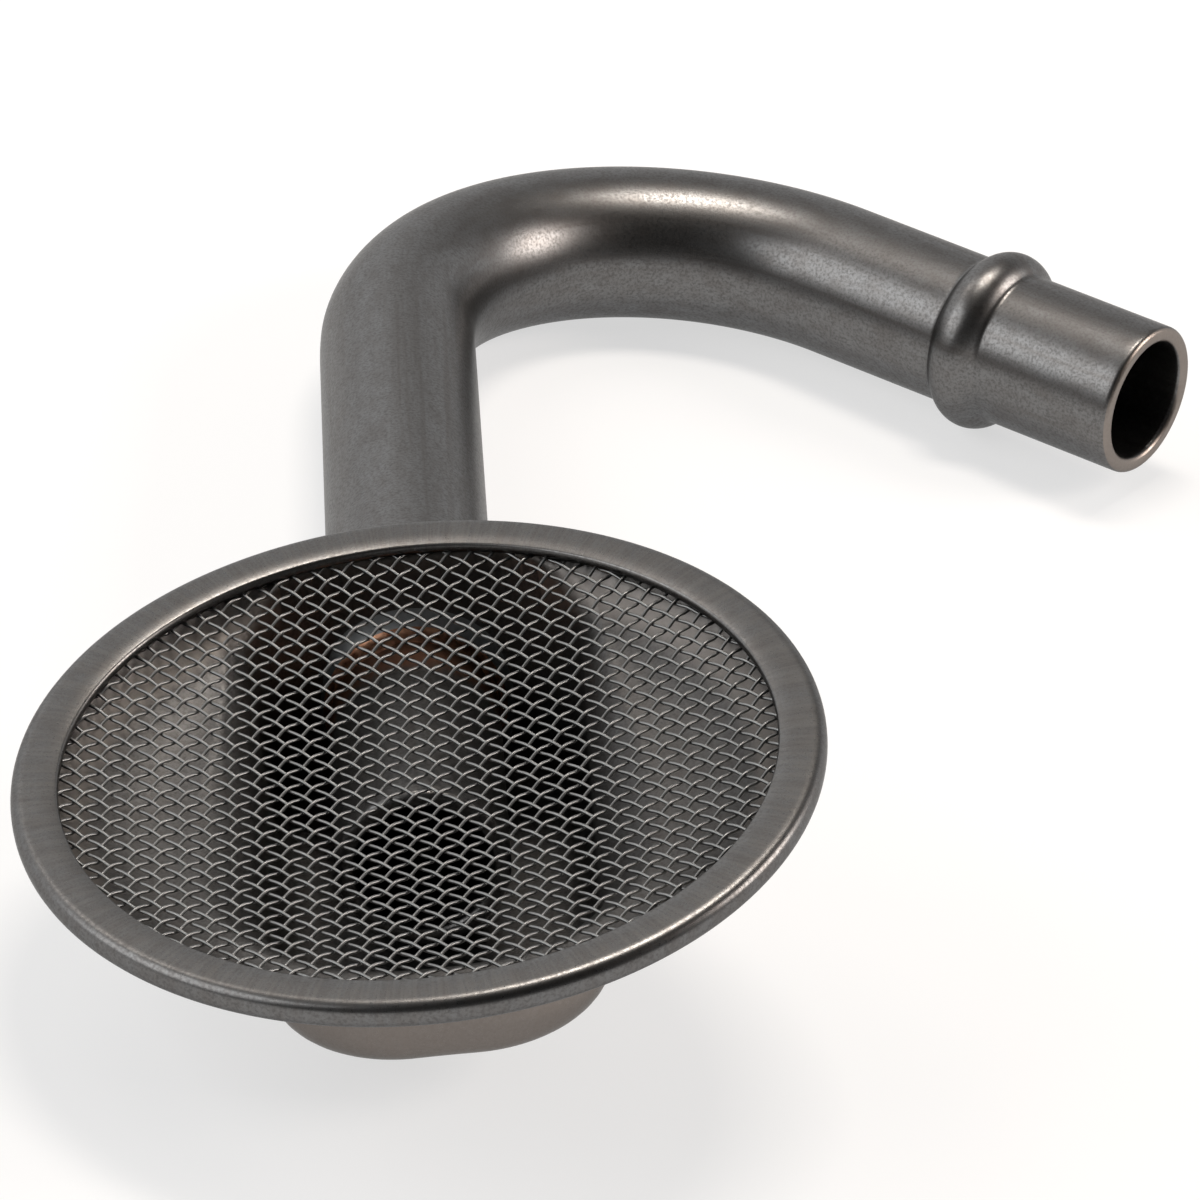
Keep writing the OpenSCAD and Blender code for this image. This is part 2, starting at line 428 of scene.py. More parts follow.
def fillet(a: np.ndarray, p: np.ndarray, b: np.ndarray, radius: np.ndarray | float,
           count: int) -> np.ndarray:
    """Arcs that round the corners p of the lines a, p, b, each kept inside the shorter of its two sides.

    Args:
        a: Points before the corners.
        p: The corners.
        b: Points after the corners.
        radius: Radius that the arc has where the sides are long enough.
        count: Points on each arc.

    Returns:
        Array of count rows of points.
    """
    room_share, least_half, least_sine = 0.49, 1e-3, 1e-6
    u, v = unit(a - p), unit(b - p)
    half = np.arccos(np.clip(np.sum(u * v, axis=-1), -1.0, 1.0)) / 2
    room = room_share * np.minimum(np.linalg.norm(a - p, axis=-1), np.linalg.norm(b - p, axis=-1))
    cut = np.minimum(radius / np.tan(np.maximum(half, least_half)), room)
    r = cut * np.tan(half)
    centre = p + unit(u + v) * (r / np.sin(half))[:, None]
    from_arm, to_arm = p + u * cut[:, None] - centre, p + v * cut[:, None] - centre
    sweep = np.pi - 2 * half
    t = np.linspace(0.0, 1.0, count)[:, None]
    weight = np.maximum(np.sin(sweep), least_sine)
    first = (np.sin((1 - t) * sweep) / weight)[..., None]
    second = (np.sin(t * sweep) / weight)[..., None]
    return centre + first * from_arm + second * to_arm


@dataclass
class Bowl:
    """The stamped bowl: a trough for the leg, a dish round it, and a rim hemmed over the screen's edge.

    It is drawn with the hem's middle at the origin, the screen's normal along +Z and the leg towards +Y.
    The fields in rows, columns and sides set how fine its grids are.
    """

    rim_d: float = 73.3
    sheet: float = 1.0
    hem_w: float = 4.05
    hem_gap: float = 0.7
    flange_r: float = 33.7
    flange_round: float = 1.0
    dish_slope: float = 48.0
    dish_power: float = 5.3
    trough_half_w: float = 15.1
    trough_offset: float = 0.1
    floor_gap: float = 1.35
    floor_round: float = 4.0
    side_draft: float = 3.0
    far_draft: float = 0.0
    side_round: float = 7.0
    far_wall_round: float = 2.5
    near_wall: float = -19.2
    near_round: float = 12.0
    far_wall: float = 31.4
    far_round: float = 9.0
    edge_power: float = 2.4
    lip_droop: float = 0.2
    droop_w: float = 1.6
    tube_depth: float = 11.5
    tube_offset: float = -0.6
    pitch: float = 8.0
    roll: float = 10.5
    collar_l: float = 1.0
    collar_lip: float = 0.5
    collar_flare: float = 2.6
    # uv mark on the collar's faces; the bowl's finish paints them light blue-grey, a painted highlight for
    # the lit collar
    lit_collar_mark: float = -90.0
    hole_gap: float = 0.1
    collar_edge: float = 0.12
    flare_power: float = 1.25
    far_spread: float = 1.3
    lip_bulge: float = 0.6
    fold_reach: float = 1.01
    crease: float = 40.0
    halvings: int = 40
    corner_cols: int = 57
    side_cols: tuple[int, int, int, int] = (24, 60, 32, 60)
    line_rows: int = 8
    floor_rows: int = 12
    crest_rows: int = 16
    dish_rows: int = 30
    bend_rows: int = 9
    flat_rows: int = 4
    toe_row: int = 10
    fold_rows: int = 10
    bar_sides: int = 96

    @property
    def rim_r(self) -> float:
        """Outside radius of the hem."""
        return self.rim_d / 2

    @property
    def hem_inner_r(self) -> float:
        """Radius of the hem's lip."""
        return self.rim_r - self.hem_w

    @property
    def hem_mid(self) -> float:
        """Height of the middle of each layer of the hem."""
        return (self.hem_gap + self.sheet) / 2

    def frame_on(self, tube_place: Place) -> Place:
        """The bowl's frame, from the frame of the tube that it is brazed to."""
        turn = turned(Axis.Y, -self.roll) @ turned(Axis.X, self.pitch)
        return tube_place.holding(turn, turn @ np.array([-self.tube_offset, 0.0, self.tube_depth]))

    def leg_frame(self) -> Place:
        """The frame with +Y along the leg, inside the bowl's frame, over the trough's middle."""
        return Place(turned(Axis.X, -self.pitch), np.array([0.0, 0.0, -self.tube_depth]))

    def from_leg(self, points: np.ndarray) -> np.ndarray:
        """Points of the leg's frame, in the bowl's frame."""
        leg = self.leg_frame()
        return points @ leg.turn.T + leg.origin

    def plan(self) -> tuple[np.ndarray, np.ndarray, np.ndarray]:
        """The trough's outline at the leg's height: a rectangle with round corners, anticlockwise.

        Returns:
            Points on the outline, outward directions, and the floor's points that the outline shrinks to.
        """
        half = self.sheet / 2
        w, near_y, far_y = self.trough_half_w + half, self.near_wall - half, self.far_wall + half
        r_near, r_far = self.near_round + half, self.far_round + half
        near, far = (near_y + r_near, r_near, near_y + w), (far_y - r_far, r_far, far_y - w)
        corners = [(r_near - w, *near, 180.0), (w - r_near, *near, 270.0),
                   (w - r_far, *far, 0.0), (r_far - w, *far, 90.0)]
        parts, following = [], corners[1:] + corners[:1]
        for (cx, cy, r, spine_y, a0), after, count in zip(corners, following, self.side_cols):
            a = np.radians(np.linspace(a0, a0 + 90.0, self.corner_cols))
            n = np.stack([np.cos(a), np.sin(a)], axis=-1)
            bend = np.array([cx, cy]) + r * n
            t = np.linspace(0.0, 1.0, count, endpoint=False)[1:, None]
            begin = np.array(after[:2]) + after[2] * n[-1]
            line, spine = bend[-1] + t * (begin - bend[-1]), spine_y + t * (after[3] - spine_y)
            parts.append((np.concatenate([bend, line]), np.concatenate([n, np.tile(n[-1], (len(t), 1))]),
                          np.concatenate([np.full((len(a), 1), spine_y), spine])))
        plan, normal, spine = (np.concatenate(p) for p in zip(*parts))
        floor = np.concatenate([np.full_like(spine, self.trough_offset), spine], axis=1)
        return plan + np.array([self.trough_offset, 0.0]), normal, floor

    def dish(self, r: np.ndarray) -> np.ndarray:
        """Height of the sheet's middle at radius r: a power curve, steepest where it meets the flange."""
        drop = self.flange_r * np.tan(np.radians(self.dish_slope)) / self.dish_power
        return -self.hem_mid - drop * np.maximum(0.0, 1.0 - (r / self.flange_r) ** self.dish_power)

    def middle_sheet(self) -> np.ndarray:
        """Middle of the sheet along sections from the trough's floor to the hem's lip.

        Each section runs over the floor, up the drafted wall to where the wall meets the dish, out along the
        dish to the flange and round the hem, with every corner rounded.

        Returns:
            Array of rows along the section, columns round the bowl and three coordinates.
        """
        plan, normal, spine = self.plan()
        foot = -(Tube().r + self.floor_gap) - self.sheet / 2
        far = smooth_step(self.far_spread * normal[:, 1])
        lean = np.tan(np.radians(self.side_draft + (self.far_draft - self.side_draft) * far))
        crest_round = self.side_round + (self.far_wall_round - self.side_round) * far

        def wall(z: np.ndarray) -> np.ndarray:
            """The drafted wall's points at heights z of the leg's frame."""
            flat = plan + normal * (lean * z)[:, None]
            return self.from_leg(np.concatenate([flat, z[:, None]], axis=1))

        low, high = np.full(len(plan), foot), np.full(len(plan), self.rim_r)
        for _ in range(self.halvings):
            z = (low + high) / 2
            q = wall(z)
            above = q[:, 2] > self.dish(np.hypot(q[:, 0], q[:, 1]))
            low, high = np.where(above, low, z), np.where(above, z, high)
        top = wall(low)
        azimuth = np.arctan2(top[:, 1], top[:, 0])

        def round_rim(r: np.ndarray | float, z: np.ndarray | float) -> np.ndarray:
            """Points at radius r and height z, one on each section."""
            r, z = np.asarray(r) + 0 * azimuth, np.asarray(z) + 0 * azimuth
            return np.stack([r * np.cos(azimuth), r * np.sin(azimuth), z], axis=-1)

        top_r = np.hypot(top[:, 0], top[:, 1])
        flange_r, edge = np.maximum(self.flange_r, top_r + self.sheet), self.rim_r - self.sheet / 2
        ahead_r = np.minimum(top_r + 2 * self.side_round, flange_r)
        floor = self.from_leg(np.concatenate([spine, np.full((len(plan), 1), foot)], axis=1))
        toe = wall(np.full(len(plan), foot))
        bottom = fillet(floor, toe, top, self.floor_round + self.sheet / 2, self.floor_rows)
        crest = fillet(toe, top, round_rim(ahead_r, self.dish(ahead_r)), crest_round, self.crest_rows)
        begin_r = np.hypot(crest[-1, :, 0], crest[-1, :, 1])
        share = np.linspace(0.0, 1.0, self.dish_rows)[:, None]
        r = begin_r + share * (flange_r - begin_r)
        dished = round_rim(r, self.dish(r) + (crest[-1, :, 2] - self.dish(begin_r)) * (1 - share) ** 2)
        line = [dished[-2], round_rim(flange_r, -self.hem_mid), round_rim(edge, -self.hem_mid),
                round_rim(edge, self.hem_mid), round_rim(self.hem_inner_r, self.hem_mid)]
        radii = [self.flange_round, self.hem_mid, self.hem_mid]
        flange, under, over = (fillet(*line[i:i + 3], radii[i], self.bend_rows) for i in range(3))
        t = np.linspace(0.0, 1.0, self.line_rows, endpoint=False)[:, None, None]
        rows = [floor + t * (bottom[0] - floor), bottom[:-1], bottom[-1] + t * (crest[0] - bottom[-1]),
                crest[:-1], dished[:-1], flange[:-1], flange[-1] + t[::2] * (under[0] - flange[-1]), under,
                over[1:-1], over[-1] + t * (line[-1] - over[-1]), line[-1][None]]
        return np.concatenate(rows)

    def surface(self, place: Place) -> Surface:
        """The sheet's two faces, half a thickness to each side of its middle, joined round the hem's lip.

        The hem's free edge droops by the square of the nearness to the lip.

        Args:
            place: Where the bowl's drawing frame lies.

        Returns:
            The closed grid, its uv in metres round the rim and from the lip, below zero on the inside.
        """
        middle = self.middle_sheet()
        around = np.roll(middle, -1, axis=1) - np.roll(middle, 1, axis=1)
        along = np.gradient(middle, axis=0)
        normal = unit(np.cross(around, along))
        floor_normal = self.leg_frame().way(np.array([0.0, 0.0, 1.0]))
        normal *= np.sign(normal[self.toe_row] @ floor_normal)[None, :, None]
        normal[:self.flat_rows] = floor_normal
        half = self.sheet / 2
        t = np.linspace(0.0, np.pi, self.bend_rows)[1:-1, None, None]
        lip_way = unit(middle[-1] - middle[-2])
        lip = middle[-1] + half * (np.cos(t) * normal[-1] + self.lip_bulge * np.sin(t) * lip_way)
        outside = self.squared_edge(middle - half * normal)
        points = np.concatenate([middle + half * normal, lip, outside[::-1]])
        r = np.hypot(points[..., 0], points[..., 1])
        folded = np.arange(len(points)) > len(middle) - self.fold_rows
        droop = np.clip(1.0 - (r - self.hem_inner_r) / self.droop_w, 0.0, 1.0) ** 2 * (points[..., 2] > 0)
        points[..., 2] -= self.lip_droop * droop * folded[:, None]
        steps = np.linalg.norm(np.diff(points, axis=0), axis=-1)
        length = np.concatenate([np.zeros_like(steps[:1]), np.cumsum(steps, axis=0)])
        from_lip = length - length[len(middle) + len(lip) // 2]
        from_lip = np.concatenate([from_lip, from_lip[:, :1]], axis=1)
        round_rim = np.linspace(0.0, 2 * np.pi * self.rim_r, from_lip.shape[1])
        uv = np.stack([np.broadcast_to(round_rim, from_lip.shape), from_lip], axis=-1) * MM
        return Surface(place.put(points), uv)

    def squared_edge(self, outside: np.ndarray) -> np.ndarray:
        """Presses the hem's round fold squarer: its half circle becomes a superellipse of the same reach.

        Args:
            outside: Points of the sheet's outer face.

        Returns:
            The points, with those of the fold moved outwards.
        """
        fold, n = self.hem_mid + self.sheet / 2, self.edge_power
        r = np.hypot(outside[..., 0], outside[..., 1])
        over, up = np.maximum(r - (self.rim_r - fold), 0.0) / fold, np.abs(outside[..., 2]) / fold
        squarer = np.hypot(over, up) / np.maximum((over**n + up**n) ** (1 / n), TINY)
        grow = np.where((over > 0) & (up < self.fold_reach), squarer, 1.0)
        wider = (np.minimum(r, self.rim_r - fold) + over * grow * fold) / r
        return outside * np.stack([wider, wider, grow], axis=-1)

    def turned_bar(self, name: str, rows: list[tuple[float, float]], place: Place) -> bpy.types.Object:
        """A solid turned about the leg, used to add the collar and to cut the hole.

        Args:
            name: Name of the helper object.
            rows: Pairs of radius and place along the leg, from one end to the other.
            place: Where the bowl's drawing frame lies.

        Returns:
            The helper object.
        """
        a = np.linspace(0.0, 2 * np.pi, self.bar_sides, endpoint=False)
        r, y = np.array([(0.0, rows[0][1]), *rows, (0.0, rows[-1][1])]).T[:, :, None]
        points = np.stack([self.tube_offset + r * np.cos(a), y + 0 * a, r * np.sin(a)], axis=-1)
        # the helper's faces carry the collar's uv mark, which the bowl's finish paints light as a painted
        # highlight
        uv = np.full((len(points), len(a) + 1, 2), self.lit_collar_mark * MM)
        return mesh_piece(name, [Surface(place.put(self.from_leg(points)), uv)])

    def hollow(self, place: Place) -> bpy.types.Object:
        """A solid that fills the bowl to the middle of its sheet, used to keep the collar within the wall.

        Args:
            place: Where the bowl's drawing frame lies.

        Returns:
            The helper object.
        """
        middle = self.middle_sheet()
        widest = int(np.hypot(middle[:, 0, 0], middle[:, 0, 1]).argmax())
        points = np.concatenate([middle[:widest], np.zeros((1, middle.shape[1], 3))])
        uv = np.full((len(points), points.shape[1] + 1, 2), self.lit_collar_mark * MM)
        return mesh_piece("bowl_hollow", [Surface(place.put(points), uv)])

    def build(self, place: Place, finish: "Finish") -> bpy.types.Object:
        """Makes the bowl with its collar and hole, which stands for its CAD node.

        Args:
            place: Where the bowl's drawing frame lies.
            finish: The finish that it takes.

        Returns:
            The bowl.
        """
        piece = mesh_piece("bowl_stamping", [self.surface(place)])
        hole_r = Tube().r + self.hole_gap
        face, back = self.far_wall - self.collar_l, self.far_wall + self.sheet / 2
        lip, edge = hole_r + self.collar_lip, face + self.collar_edge
        t = np.linspace(0.0, 1.0, self.bend_rows)
        flare = [(lip + self.collar_flare * x**self.flare_power, edge + (back - edge) * x) for x in t]
        collar = self.turned_bar("collar_bar", [(lip - self.collar_edge, face), *flare], place)
        ends = (face - self.sheet, back + 3 * self.sheet)
        hole = self.turned_bar("hole_bar", [(hole_r, y) for y in ends], place)
        combine(collar, self.hollow(place), Joining.KEPT_TO)
        combine(piece, collar, Joining.ADDED)
        combine(piece, hole, Joining.CUT_AWAY)
        piece.data.set_sharp_from_angle(angle=np.radians(self.crease))
        return dress(piece, finish, "bowl_steel", "bowl")


def combine(piece: bpy.types.Object, helper: bpy.types.Object, joining: Joining) -> None:
    """Joins a helper solid to a piece by a boolean operation, and removes the helper.

    Args:
        piece: The piece to change.
        helper: The solid that is added, cut away or kept to.
        joining: What the helper does to the piece.
    """
    modifier = piece.modifiers.new(joining.name, "BOOLEAN")
    modifier.object = helper
    modifier.operation = joining.value
    modifier.solver = "EXACT"
    depsgraph = bpy.context.evaluated_depsgraph_get()
    made = bpy.data.meshes.new_from_object(piece.evaluated_get(depsgraph))
    piece.modifiers.clear()
    piece.data = made
    bpy.data.objects.remove(helper)


@dataclass(frozen=True)
class WireLayer:
    """One of the cloth's two sets of parallel wires.

    Args:
        name: Name of the piece.
        turn: Angle of its wires from +X, in degrees.
        shift: How far its wires lie to the side, in millimetres.
        crimp: Height of its wave, in millimetres; the more crimped set winds round the straighter one.
        side: 1 or -1, the side on which it passes its first neighbour.
    """

    name: str
    turn: float
    shift: float
    crimp: float
    side: int

    @property
    def along(self) -> np.ndarray:
        """Direction of the wires, in the plane of the hem."""
        return turned(Axis.Z, self.turn)[:2, 0]

    @property
    def across(self) -> np.ndarray:
        """Direction from each wire to the next."""
        return turned(Axis.Z, self.turn)[:2, 1]


@dataclass
class Screen:
    """Plain-woven wire cloth, 16 wires to the inch, dished into the bowl and gripped in its hem."""

    bowl: Bowl
    pitch: float = 25.4 / 16
    wire_d: float = 0.31
    sag: float = 2.5
    layers: tuple[WireLayer, WireLayer] = (
        WireLayer("screen_warp", turn=44.6, shift=0.98, crimp=0.19, side=1),
        WireLayer("screen_weft", turn=-44.6, shift=0.28, crimp=0.09, side=-1))
    grip_share: float = 0.45
    merge_mm: float = 0.0002
    sides: int = 8
    rings_per_pitch: int = 6
    least_rings: int = 8

    def wire(self, number: int, layer: WireLayer, other: WireLayer, place: Place) -> Surface:
        """One wire: a round section carried along a wave that passes over and under the other layer.

        Its height is the dish's plus the wave's: the sag times one less the square of the radius share, and
        the crimp times the cosine of the place between the other layer's wires.

        Args:
            number: Number of the wire from the middle of the cloth.
            layer: The layer that it belongs to.
            other: The layer that it crosses.
            place: Where the bowl's drawing frame lies.

        Returns:
            The closed grid of the wire.
        """
        lip, grip = self.bowl.hem_inner_r, self.bowl.hem_inner_r + self.grip_share * self.bowl.hem_w
        offset = number * self.pitch + layer.shift
        reach = np.sqrt(grip**2 - offset**2)
        count = max(self.least_rings, int(np.ceil(2 * reach / self.pitch * self.rings_per_pitch)))
        flat = np.linspace(-reach, reach, count)[:, None] * layer.along + offset * layer.across
        crossing = (flat @ other.across - other.shift) / self.pitch
        z = -self.sag * np.maximum(0.0, 1 - np.sum(flat**2, axis=-1) / lip**2)
        z += layer.side * layer.crimp * np.cos(np.pi * (crossing + number))
        line = np.concatenate([flat, z[:, None]], axis=1)
        across = np.append(layer.across, 0.0)
        up = np.cross(unit(np.gradient(line, axis=0)), across)
        a = np.linspace(0.0, 2 * np.pi, self.sides, endpoint=False)
        size = np.full(count, self.wire_d / 2)
        size[[0, -1]] = 0.0
        ring = np.cos(a)[None, :, None] * across + np.sin(a)[None, :, None] * up[:, None, :]
        points = line[:, None, :] + size[:, None, None] * ring
        round_wire = np.linspace(0.0, np.pi * self.wire_d, self.sides + 1)
        uv = np.stack(np.meshgrid(round_wire, np.linspace(-reach, reach, count)), axis=-1) * MM
        return Surface(place.put(points), uv)

    def build(self, place: Place, finish: "Finish") -> list[bpy.types.Object]:
        """Makes the two layers of wires, which stand for the screen's CAD node.

        Args:
            place: Where the bowl's drawing frame lies.
            finish: The finish that they take.

        Returns:
            The two layers.
        """
        most = int(self.bowl.hem_inner_r / self.pitch)
        pieces = []
        for layer, other in (self.layers, self.layers[::-1]):
            wires = [self.wire(n, layer, other, place) for n in range(-most, most + 1)]
            piece = mesh_piece(layer.name, wires, self.merge_mm)
            pieces.append(dress(piece, finish, "screen_wire", "screen"))
        return pieces


@dataclass
class Braze:
    """The braze that ran round the leg where it enters the bowl: a hollow fillet of uneven length.

    Each wave of its length has a share of the unevenness, a count round the leg and a phase.
    """

    bowl: Bowl
    length: float = 1.6
    uneven: float = 1.2
    height: float = 0.55
    sink: float = 0.02
    rise_power: float = 2.4
    run_power: float = 1.3
    waves: tuple[tuple[float, int, float], ...] = (
        (0.5, 1, 0.4), (0.25, 3, 1.0), (0.15, 7, 0.0), (0.1, 13, 2.0))
    row_step: float = 0.3
    rows: int = 10
    sides: int = 144
    crease: float = 50.0

    def surface(self, place: Place) -> Surface:
        """A hollow fillet carried round the leg, its length a sum of a few waves.

        Args:
            place: Where the bowl's drawing frame lies.

        Returns:
            The closed grid, its uv in metres round and along the leg.
        """
        bowl, r = self.bowl, Tube().r
        a = np.linspace(0.0, 2 * np.pi, self.sides, endpoint=False)
        wave = sum(share * np.sin(n * a + phase) for share, n, phase in self.waves)
        reach = self.length + self.uneven * wave
        hole_r, face = r + bowl.hole_gap, bowl.far_wall - bowl.collar_l
        t = np.linspace(0.0, 1.0, self.rows)[:, None]
        slope_r = r + self.sink + (hole_r + self.height - r) * t**self.rise_power + 0 * reach
        slope_y = face - reach * (1 - t) ** self.run_power
        outer, inner, end = hole_r - self.sink, r - self.sink, face + bowl.collar_l + bowl.sheet
        back = np.array([(outer, face), (outer, end), (inner, end), (inner, face)])
        back_r, back_y = back.T[:, :, None] + 0 * reach
        foot_r, foot_y = np.full((1, len(a)), inner), face - reach[None]
        radius, y = np.concatenate([slope_r, back_r, foot_r]), np.concatenate([slope_y, back_y, foot_y])
        points = np.stack([bowl.tube_offset + radius * np.cos(a), y, radius * np.sin(a)], axis=-1)
        turn = np.linspace(0.0, 2 * np.pi * r, len(a) + 1)
        uv = np.stack(np.meshgrid(turn, np.arange(len(points) + 1) * self.row_step), axis=-1) * MM
        return Surface(place.put(bowl.from_leg(points)), uv, wrap_rows=True)

    def build(self, place: Place, finish: "Finish") -> bpy.types.Object:
        """Makes the braze, which stands for its CAD node.

        Args:
            place: Where the bowl's drawing frame lies.
            finish: The finish that it takes.

        Returns:
            The braze.
        """
        piece = mesh_piece("braze_run", [self.surface(place)])
        piece.data.set_sharp_from_angle(angle=np.radians(self.crease))
        return dress(piece, finish, "braze", "braze_fillet")


def linear(hex_colour: str) -> tuple[float, float, float, float]:
    """Turns an sRGB colour into linear light: a straight foot, then a power.

    Args:
        hex_colour: The colour, as # and six hex digits.

    Returns:
        Red, green, blue and an alpha of one.
    """
    c = np.array([int(hex_colour[i:i + 2], 16) for i in (1, 3, 5)]) / 255
    c = np.where(c <= 0.04045, c / 12.92, ((c + 0.055) / 1.055) ** 2.4)
    return (*c.tolist(), 1.0)


def set_inputs(tree: Tree, node: Node, **inputs: object) -> None:
    """Gives a node's inputs their values or links.

    Args:
        tree: The tree that the node is in.
        node: The node.
        inputs: Values or output sockets; a name of _ and a number means an input by its place, and in
            other names _ stands for a space.
    """
    for name, value in inputs.items():
        socket = node.inputs[int(name[1:])] if name[0] == "_" else node.inputs[name.replace("_", " ")]
        if isinstance(value, Socket):
            tree.links.new(value, socket)
        else:
            socket.default_value = value


def add_node(tree: Tree, kind: str, settings: dict | None = None, **inputs: object) -> Node:
    """Adds one shader node.

    Args:
        tree: The tree that it goes into.
        kind: Blender's name of the node.
        settings: Properties to set on it.
        inputs: Values or output sockets, named as for set_inputs.

    Returns:
        The new node.
    """
    node = tree.nodes.new(kind)
    for name, value in (settings or {}).items():
        setattr(node, name, value)
    set_inputs(tree, node, **inputs)
    return node


def per_mm(size_mm: float) -> float:
    """Texture scale, in cycles per metre, of a pattern of that size."""
    return 1.0 / (size_mm * MM)


def ramp(tree: Tree, value: Socket, low: float, high: float, at_low: float, at_high: float) -> Socket:
    """Maps a value smoothly, from at_low at low to at_high at high, and holds it outside them."""
    return add_node(tree, "ShaderNodeMapRange", {"interpolation_type": "SMOOTHSTEP"}, Value=value,
                    _1=low, _2=high, _3=at_low, _4=at_high).outputs[0]


def blend(tree: Tree, amount: Socket, under: object, over: object) -> Socket:
    """Lays one colour over another by an amount; each may be a socket or a fixed colour."""
    return add_node(tree, "ShaderNodeMix", {"data_type": "RGBA"}, _0=amount, _6=under, _7=over).outputs[2]


def between(tree: Tree, share: Socket, a: object, b: object) -> Socket:
    """A value that goes from a to b as the share goes from 0 to 1; each may be a socket or a number."""
    return add_node(tree, "ShaderNodeMix", {"data_type": "FLOAT"}, _0=share, _2=a, _3=b).outputs[0]


def both(tree: Tree, how: Sum, a: object, b: object) -> Socket:
    """Puts two values together; each may be a socket or a number."""
    return add_node(tree, "ShaderNodeMath", {"operation": how.value}, _0=a, _1=b).outputs[0]


def noise(tree: Tree, at: Socket, scale: float, detail: float, roughness: float = 0.5) -> Socket:
    """Fractal noise, with that strength of its finer layers."""
    return add_node(tree, "ShaderNodeTexNoise", Vector=at, Scale=scale, Detail=detail,
                    Roughness=roughness).outputs[0]


@dataclass(frozen=True)
class Finish:
    """What every finish has: a name, a colour and a roughness."""

    name: str
    colour: str
    roughness: float

    def material(self) -> bpy.types.Material:
        """Looks the finish's material up by its name, and makes it the first time.

        Returns:
            The material.
        """
        made = bpy.data.materials.get(self.name)
        if made is None:
            made = bpy.data.materials.new(self.name)
            made.use_nodes = True
            self.paint(made.node_tree, made.node_tree.nodes["Principled BSDF"])
        return made

    def paint(self, tree: Tree, shader: Node) -> None:
        """Sets the shader's sockets, with nodes that go into the tree."""
        raise NotImplementedError


@dataclass(frozen=True)
class Band:
    """A colour over a length of the uv's second axis, such as a stain, brush marks or a painted highlight.

    Args:
        colour: Its colour, as sRGB hex.
        first: Where it starts, in millimetres.
        last: Where it ends.
        soft: How far its edges fade.
        amount: How much of it covers what is under it.
        broken: How far the clouds shift its edges.
        brushed: Whether it shows only along the drawing marks.
    """

    colour: str
    first: float
    last: float
    soft: float
    amount: float
    broken: float = 0.0
    brushed: bool = False


